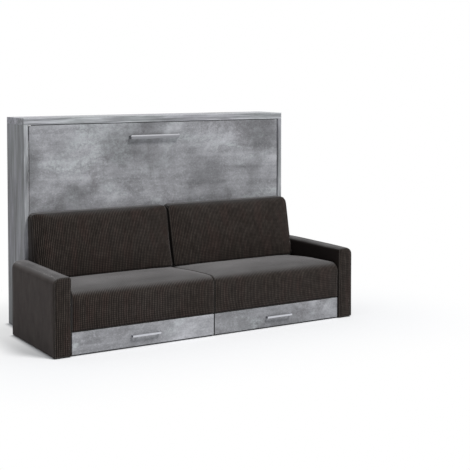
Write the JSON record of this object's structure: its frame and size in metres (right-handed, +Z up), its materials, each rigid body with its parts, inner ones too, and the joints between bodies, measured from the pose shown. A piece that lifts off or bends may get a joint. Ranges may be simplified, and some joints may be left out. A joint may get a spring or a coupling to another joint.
{
  "type": "wall bed with sofa",
  "caption": "Horizontal wall bed that folds down over a sofa with loose cushions and drawers.",
  "frame": {"origin": "on the floor, under the middle of the object's outer box", "axes": "+X to the right along the wall seen from the room, +Y towards the wall, +Z up"},
  "size_m": [2.324, 1.121, 1.475],
  "materials": {
    "concrete_board": "matt board with a mottled grey concrete print",
    "streaked_board": "matt grey board with fine streaks",
    "plain_board": "plain grey board",
    "upholstery": "fine ribbed dark brown cloth",
    "handle_metal": "brushed",
    "steel": "zinc plated",
    "black_steel": "satin black paint",
    "beech": "bare beech ply",
    "mattress_cloth": "white knitted ticking",
    "webbing": "black woven webbing",
    "black_plastic": "moulded",
    "rubber": "moulded"
  },
  "bodies": {
    "cabinet_and_sofa": {"cabinet_side_left": "streaked_board", "cabinet_side_right": "streaked_board", "cabinet_top": "streaked_board", "front_skirt": "plain_board", "cabinet_bottom_board": "plain_board", "lower_back_rail": "plain_board", "upper_back_rail": "plain_board", "wall_bracket_left": "steel", "wall_bracket_right": "steel", "pivot_plate_left": "steel", "pivot_plate_right": "steel", "strut_bracket_left": "steel", "strut_bracket_right": "steel", "sofa_arm_left": "upholstery", "sofa_arm_right": "upholstery", "arm_glide_left": "black_plastic", "arm_glide_right": "black_plastic", "base_side_left": "plain_board", "base_side_right": "plain_board", "base_divider": "plain_board", "base_back": "plain_board", "seat_deck": "plain_board", "sofa_fixing_left": "black_plastic", "sofa_fixing_right": "black_plastic", "seat_cushion_left": "upholstery", "seat_cushion_right": "upholstery", "drawer_runner_left_inner": "steel", "drawer_runner_left_outer": "steel", "drawer_runner_right_inner": "steel", "drawer_runner_right_outer": "steel"},
    "bed": {"bed_front_panel": "concrete_board", "bed_handle": "handle_metal", "slat_deck": "beech", "frame_rail_lower": "plain_board", "frame_rail_upper": "plain_board", "frame_end_left": "plain_board", "frame_end_right": "plain_board", "mattress": "mattress_cloth", "mattress_strap_left": "webbing", "mattress_strap_right": "webbing", "bed_pivot_plate_left": "steel", "bed_pivot_plate_right": "steel", "leg_pin_left": "steel", "leg_pin_right": "steel"},
    "leg_left": {"leg_bar_left": "black_steel", "leg_foot_left": "rubber"},
    "leg_right": {"leg_bar_right": "black_steel", "leg_foot_right": "rubber"},
    "strut_cylinder_body_left": {"strut_cylinder_left": "black_steel"},
    "strut_cylinder_body_right": {"strut_cylinder_right": "black_steel"},
    "strut_rod_body_left": {"strut_rod_left": "handle_metal"},
    "strut_rod_body_right": {"strut_rod_right": "handle_metal"},
    "back_left": {"back_cushion_left": "upholstery"},
    "back_right": {"back_cushion_right": "upholstery"},
    "drawer_left": {"drawer_front_left": "concrete_board", "drawer_handle_left": "handle_metal", "drawer_box_left": "plain_board"},
    "drawer_right": {"drawer_front_right": "concrete_board", "drawer_handle_right": "handle_metal", "drawer_box_right": "plain_board"}
  },
  "joints": [
    {"name": "bed_fold", "type": "hinge", "parent": "cabinet_and_sofa", "child": "bed", "pos_m": [0, 0.2625, 0.47], "axis": [1, 0, 0], "range_deg": [0, 90]},
    {"name": "leg_drop_left", "type": "hinge", "parent": "bed", "child": "leg_left", "pos_m": [-1.024, 0.2825, 1.11], "axis": [1, 0, 0], "range_deg": [-90, 0]},
    {"name": "leg_drop_right", "type": "hinge", "parent": "bed", "child": "leg_right", "pos_m": [1.024, 0.2825, 1.11], "axis": [1, 0, 0], "range_deg": [-90, 0]},
    {"name": "strut_swing_left", "type": "hinge", "parent": "cabinet_and_sofa", "child": "strut_cylinder_body_left", "pos_m": [-0.996, 0.4985, 0.935], "axis": [1, 0, 0], "range_deg": [0, 4.4]},
    {"name": "strut_swing_right", "type": "hinge", "parent": "cabinet_and_sofa", "child": "strut_cylinder_body_right", "pos_m": [0.996, 0.4985, 0.935], "axis": [1, 0, 0], "range_deg": [0, 4.4]},
    {"name": "strut_slide_left", "type": "slide", "parent": "strut_cylinder_body_left", "child": "strut_rod_body_left", "axis": [0, 0.3771, 0.9262], "range_m": [0, 0.1215]},
    {"name": "strut_slide_right", "type": "slide", "parent": "strut_cylinder_body_right", "child": "strut_rod_body_right", "axis": [0, 0.3771, 0.9262], "range_m": [0, 0.1215]},
    {"name": "back_lift_left", "type": "hinge", "parent": "cabinet_and_sofa", "child": "back_left", "pos_m": [-0.51, -0.4795, 0.416], "axis": [1, 0, 0], "range_deg": [0, 180]},
    {"name": "back_lift_right", "type": "hinge", "parent": "cabinet_and_sofa", "child": "back_right", "pos_m": [0.51, -0.4795, 0.416], "axis": [1, 0, 0], "range_deg": [0, 180]},
    {"name": "drawer_slide_left", "type": "slide", "parent": "cabinet_and_sofa", "child": "drawer_left", "axis": [0, -1, 0], "range_m": [0, 0.35]},
    {"name": "drawer_slide_right", "type": "slide", "parent": "cabinet_and_sofa", "child": "drawer_right", "axis": [0, -1, 0], "range_m": [0, 0.35]}
  ],
  "couplings": [
    {"joint": "leg_drop_left", "follows": "bed_fold", "ratio": -1},
    {"joint": "leg_drop_right", "follows": "bed_fold", "ratio": -1},
    {"joint": "strut_swing_left", "follows": "bed_fold", "ratio": 0.048513},
    {"joint": "strut_swing_right", "follows": "bed_fold", "ratio": 0.048513},
    {"joint": "strut_slide_left", "follows": "bed_fold", "m_per_rad": 0.077286},
    {"joint": "strut_slide_right", "follows": "bed_fold", "m_per_rad": 0.077286},
    {"joint": "back_lift_left", "follows": "bed_fold", "ratio": 2},
    {"joint": "back_lift_right", "follows": "bed_fold", "ratio": 2}
  ]
}
